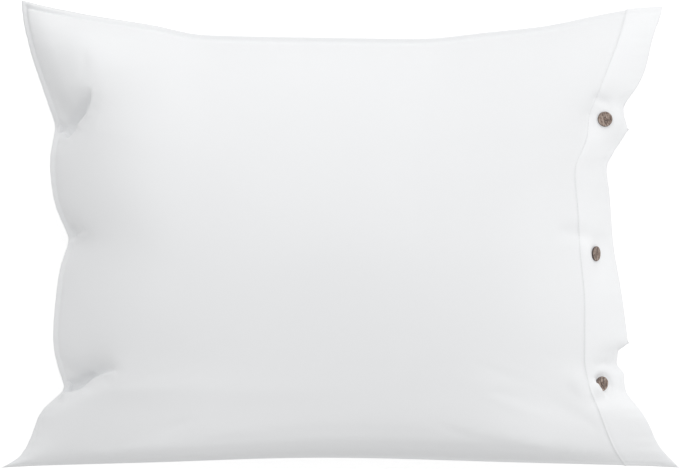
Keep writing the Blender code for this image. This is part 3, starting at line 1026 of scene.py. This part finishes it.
class PILLOWCASE_OT_hem_stitching(bpy.types.Operator):
    """Sews the rows of stitches that hold the hem at the mouth"""

    bl_idname = "pillowcase.hem_stitching"
    bl_label = "Hem stitching"

    def execute(self, context):
        settings = context.scene.pillowcase_stitching
        tree = cloth_tree()
        model = stitch_model(settings)
        copies = []
        for from_above in (True, False):
            for place, way, normal in stitch_places(tree, from_above, settings.spacing):
                side = way.cross(normal).normalized()
                turn = Matrix((side, way.cross(side), way)).transposed().to_4x4()
                copy = added("stitch", model.data.copy())
                lifted = place + normal * settings.thickness * THREAD_RAISE
                copy.data.transform(Matrix.Translation(lifted) @ turn)
                copies.append(copy)
        bpy.data.objects.remove(model)
        piece = joined(copies, "hem_stitching")
        piece.data.shade_smooth()
        piece.data.materials.append(thread_material("white_thread", settings.colour))
        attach(piece, "root")
        return {"FINISHED"}


# The buttons

SLOPE_SHARE = 0.5  # width of the slope from the rim to the face, as a share of the rim's
BOSS_INSET = 0.3  # from the slope to the raised middle, as a share of the radius
BOSS_RISE = 0.15  # height of that middle, as a share of the dish's depth
EDGE_ROUNDING = 0.3  # of the outer edges, as a share of the thickness
RIM_ROUNDING = 0.3  # of the rim's inner edge, as a share of its width
HOLE_ROUNDING = 0.16 * MM
# The distance over which the dark low on a button's side, partly painted shade, fades in.
BARK_AND_SHADE_BLEND = 0.4 * MM
GRAIN_SHIFT = 0.031  # how far apart in the shell's grain the buttons are cut, in metres
STRAND_RADIUS = 0.21 * MM
STRAND_SHIFTS = (-0.38 * MM, 0.0, 0.38 * MM)  # of the strands that lie side by side
STRAND_DEPTH = 0.8 * MM  # how far a strand runs on into the cloth
STRAND_RISE = 0.5 * MM  # over the face, halfway between the holes
STRAND_SHOULDER = 0.42 * MM  # over the face, beside the holes


def seat_of(name):
    """The matrix that takes a button from lying on the origin to its node's place."""
    button = BUTTONS[name]
    lean, nod = radians(button.lean), radians(button.nod)
    facing = Vector((sin(lean) * cos(nod), sin(nod), cos(lean) * cos(nod)))
    points = points_of(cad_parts[name].data)
    across = points @ np.array(facing)
    low, high = points.min(axis=0), points.max(axis=0)
    middle = Vector((low + high) / 2)
    seat = middle + facing * (float(across.min()) - middle.dot(facing))
    turn = facing.to_track_quat("Z", "Y") @ Quaternion((0, 0, 1), radians(button.spin))
    return Matrix.Translation(seat) @ turn.to_matrix().to_4x4()


def seated(mesh, name, kind, material):
    """A piece of a button, brought from the origin to its place on the hem."""
    mesh.transform(seat_of(name))
    mesh.materials.clear()
    mesh.materials.append(material)
    piece = added(kind + name, mesh)
    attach(piece, "root")
    return piece


def choose_nothing(mesh):
    """Selects nothing on a mesh."""
    for group in (mesh.vertices, mesh.edges, mesh.polygons):
        group.foreach_set("select", [False] * len(group))


def choose_top(mesh):
    """Selects the faces that look straight up."""
    choose_nothing(mesh)
    for face in mesh.polygons:
        face.select = face.normal.z > 0.9


def choose_edges(mesh, wanted):
    """Selects the edges for which a test on their two ends holds."""
    choose_nothing(mesh)
    for edge in mesh.edges:
        edge.select = wanted(*(mesh.vertices[end].co for end in edge.vertices))


def turned_button(settings):
    """A button lying on the origin: a disc with a raised rim, a dished face and two holes."""
    bpy.ops.object.select_all(action="DESELECT")
    thick, radius = settings.thickness, settings.radius
    bpy.ops.mesh.primitive_cylinder_add(
        vertices=64, radius=radius, depth=thick, location=(0, 0, thick / 2)
    )
    button = bpy.context.object
    bpy.ops.object.transform_apply(location=True)
    choose_top(button.data)
    with editing(button, FACES):
        bpy.ops.mesh.inset(thickness=settings.rim_width)
        bpy.ops.mesh.inset(thickness=settings.rim_width * SLOPE_SHARE)
        bpy.ops.transform.translate(value=(0, 0, -settings.dish_depth))
        bpy.ops.mesh.inset(thickness=radius * BOSS_INSET)
        bpy.ops.transform.translate(value=(0, 0, settings.dish_depth * BOSS_RISE))

    choose_edges(
        button.data,
        lambda a, b: min(a.xy.length, b.xy.length) > radius * 0.99 and abs(a.z - b.z) < 1e-6,
    )
    with editing(button, EDGES):
        bpy.ops.mesh.bevel(offset=thick * EDGE_ROUNDING, segments=4, profile=0.5)

    rim_turn = radius - settings.rim_width
    choose_edges(
        button.data,
        lambda a, b: abs(a.xy.length - rim_turn) < 1e-5
        and abs(b.xy.length - rim_turn) < 1e-5
        and a.z > thick * 0.9,
    )
    with editing(button, EDGES):
        bpy.ops.mesh.bevel(offset=settings.rim_width * RIM_ROUNDING, segments=3, profile=0.5)

    for x in (-settings.hole_offset, settings.hole_offset):
        drill_hole(button, x, settings)
    only(button)
    bpy.ops.object.shade_smooth_by_angle(angle=radians(35))
    return button


def drill_hole(button, x, settings):
    """Cuts one thread hole and rounds its upper edge."""
    bpy.ops.object.select_all(action="DESELECT")
    bpy.ops.mesh.primitive_cylinder_add(
        vertices=24, radius=settings.hole_radius, depth=0.02, location=(x, 0, 0)
    )
    drill = bpy.context.object
    cut = button.modifiers.new("hole", "BOOLEAN")
    cut.operation = "DIFFERENCE"
    cut.object = drill
    only(button)
    bpy.ops.object.modifier_apply(modifier=cut.name)
    bpy.data.objects.remove(drill)

    def on_brim(place):
        from_hole = (place.xy - Vector((x, 0))).length
        return abs(from_hole - settings.hole_radius) < 2e-5 and place.z > settings.thickness / 3

    choose_edges(button.data, lambda a, b: on_brim(a) and on_brim(b) and abs(a.z - b.z) < 2e-4)
    with editing(button, EDGES):
        bpy.ops.mesh.bevel(offset=HOLE_ROUNDING, segments=2, profile=0.5)


def bark_and_shade_share(points, settings):
    """Where a button is painted dark low on its side: its shell's dark outer skin, and painted
    shade.
    """
    outwards = np.linalg.norm(points[:, :2], axis=1) - settings.radius
    low = eased((settings.bark_and_shade_height - points[:, 2]) / BARK_AND_SHADE_BLEND + 0.5)
    return low * eased(outwards / BARK_AND_SHADE_BLEND + 1.5)


class PILLOWCASE_OT_buttons(bpy.types.Operator):
    """Turns the shell buttons, drills them and seats them on the hem"""

    bl_idname = "pillowcase.buttons"
    bl_label = "Buttons"

    def execute(self, context):
        settings = context.scene.pillowcase_buttons
        model = turned_button(settings)
        shell = shell_material(settings)
        for number, name in enumerate(BUTTONS):
            mesh = model.data.copy()
            turned = mesh.attributes.new("turned_place", "FLOAT_VECTOR", "POINT")
            turned.data.foreach_set("vector", (points_of(mesh) + GRAIN_SHIFT * number).ravel())
            # The dark low on each button's side, partly painted shade.
            bark_and_shade = mesh.attributes.new("bark_and_shade", "FLOAT", "POINT")
            bark_and_shade.data.foreach_set("value", bark_and_shade_share(points_of(mesh), settings))
            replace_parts(seated(mesh, name, "shell_", shell), name)
        bpy.data.objects.remove(model)
        return {"FINISHED"}


def thread_strand(settings, shift):
    """One strand from the cloth up through a hole, over the face and down the other."""
    offset, face = settings.hole_offset, settings.thickness - settings.dish_depth
    route = [
        (-offset, shift, -STRAND_DEPTH),
        (-offset * 0.97, shift, face * 0.8),
        (-offset * 0.55, shift, face + STRAND_SHOULDER),
        (0.0, shift, face + STRAND_RISE),
        (offset * 0.55, shift, face + STRAND_SHOULDER),
        (offset * 0.97, shift, face * 0.8),
        (offset, shift, -STRAND_DEPTH),
    ]
    curve = bpy.data.curves.new("strand", "CURVE")
    curve.dimensions = "3D"
    curve.bevel_depth = STRAND_RADIUS
    curve.bevel_resolution = 2
    curve.resolution_u = 5
    curve.use_fill_caps = True
    spline = curve.splines.new("NURBS")
    spline.points.add(len(route) - 1)
    for point, place in zip(spline.points, route):
        point.co = (*place, 1)
    spline.use_endpoint_u = True
    spline.order_u = 3
    only(added("strand", curve))
    bpy.ops.object.convert(target="MESH")
    return bpy.context.object


class PILLOWCASE_OT_button_threads(bpy.types.Operator):
    """Sews each button on with strands through its two holes"""

    bl_idname = "pillowcase.button_threads"
    bl_label = "Button threads"

    def execute(self, context):
        settings = context.scene.pillowcase_buttons
        strands = [thread_strand(settings, shift) for shift in STRAND_SHIFTS]
        model = joined(strands, "strands")
        thread = thread_material("brown_thread", settings.thread_colour)
        for name in BUTTONS:
            mesh = model.data.copy()
            mesh.shade_smooth()
            seated(mesh, name, "thread_", thread)
        bpy.data.objects.remove(model)
        return {"FINISHED"}


# The studio

SENSOR_WIDTH = 36.0  # of the camera, in millimetres


def floor_material(settings):
    """Pale matt floor."""
    shader = Shader("pale_floor")
    shader.set(
        Base_Color=(settings.floor_shade,) * 3 + (1.0,),
        Roughness=1.0,
        Specular_IOR_Level=0.0,
        Emission_Color=(1.0, 1.0, 1.0, 1.0),
        Emission_Strength=settings.floor_glow,
    )
    return shader.material


def soft_sky(settings):
    """A white sky that is brighter towards some sides, like a room with large soft lights."""
    world = bpy.data.worlds.new("soft_sky")
    world.use_nodes = True
    sky = Nodes(world.node_tree)
    direction = sky.node("TexCoord").outputs["Generated"]
    total = settings.sky_strength
    ways = ((1, 0, 0), (0, 1, 0), (-1, 0, 0), (0, -1, 0))
    for way, share in zip(ways, settings.sky_sides):
        towards = sky.node("VectorMath", {0: direction, 1: way}, operation="DOT_PRODUCT")
        facing = sky.maths("MAXIMUM", towards.outputs["Value"])
        total = sky.maths("MULTIPLY_ADD", facing, share, total)
    background = sky.tree.nodes["Background"].inputs
    sky.feed(background["Color"], (1.0, 1.0, 1.0, 1.0))
    sky.feed(background["Strength"], total)
    return world


class PILLOWCASE_OT_studio(bpy.types.Operator):
    """Makes the pale floor, the soft light and the camera over the front"""

    bl_idname = "pillowcase.studio"
    bl_label = "Studio"

    def execute(self, context):
        settings = context.scene.pillowcase_studio
        scene = context.scene
        bpy.ops.object.select_all(action="DESELECT")
        bpy.ops.mesh.primitive_plane_add(size=settings.floor_size)
        floor = context.object
        floor.name = "floor"
        floor.data.materials.append(floor_material(settings))
        lit_by_floor = bpy.data.collections.new("lit_by_the_floor")
        lit_by_floor.objects.link(floor)
        floor.light_linking.receiver_collection = lit_by_floor

        scene.world = soft_sky(settings)
        height = settings.framed_level + settings.camera_distance
        bpy.ops.object.camera_add(location=(0, settings.camera_shift, height), rotation=(0, 0, 0))
        camera = context.object
        camera.name = "photo_camera"
        camera.data.sensor_width = SENSOR_WIDTH
        camera.data.lens = SENSOR_WIDTH * settings.camera_distance / settings.framed_width
        camera.data.clip_end = 100.0
        scene.camera = camera
        scene.view_settings.view_transform = "Standard"
        return {"FINISHED"}


class PILLOWCASE_PT_panel(bpy.types.Panel):
    """The pillowcase's pieces, in the order they are made"""

    bl_label = "Pillowcase"
    bl_idname = "PILLOWCASE_PT_panel"
    bl_space_type = "VIEW_3D"
    bl_region_type = "UI"
    bl_category = "Pillowcase"

    def draw(self, context):
        for group, operators in STEPS:
            box = self.layout.box()
            settings = getattr(context.scene, group)
            for name in settings.__annotations__:
                box.prop(settings, name)
            for operator in operators:
                box.operator(operator.bl_idname)


STEPS = [
    ("pillowcase_cloth", [PILLOWCASE_OT_cloth]),
    ("pillowcase_stitching", [PILLOWCASE_OT_hem_stitching]),
    ("pillowcase_buttons", [PILLOWCASE_OT_buttons, PILLOWCASE_OT_button_threads]),
    ("pillowcase_studio", [PILLOWCASE_OT_studio]),
]
GROUPS = {
    "pillowcase_cloth": PILLOWCASE_PG_cloth,
    "pillowcase_stitching": PILLOWCASE_PG_stitching,
    "pillowcase_buttons": PILLOWCASE_PG_buttons,
    "pillowcase_studio": PILLOWCASE_PG_studio,
}
CLASSES = [
    *GROUPS.values(),
    *(operator for _, operators in STEPS for operator in operators),
    PILLOWCASE_PT_panel,
]


def register():
    for made in CLASSES:
        bpy.utils.register_class(made)
    for name, group in GROUPS.items():
        setattr(bpy.types.Scene, name, PointerProperty(type=group))


def unregister():
    for name in GROUPS:
        delattr(bpy.types.Scene, name)
    for made in reversed(CLASSES):
        bpy.utils.unregister_class(made)


def main():
    register()
    bpy.ops.pillowcase.cloth()
    bpy.ops.pillowcase.hem_stitching()
    bpy.ops.pillowcase.buttons()
    bpy.ops.pillowcase.button_threads()
    bpy.ops.pillowcase.studio()


if __name__ == "__main__":
    main()
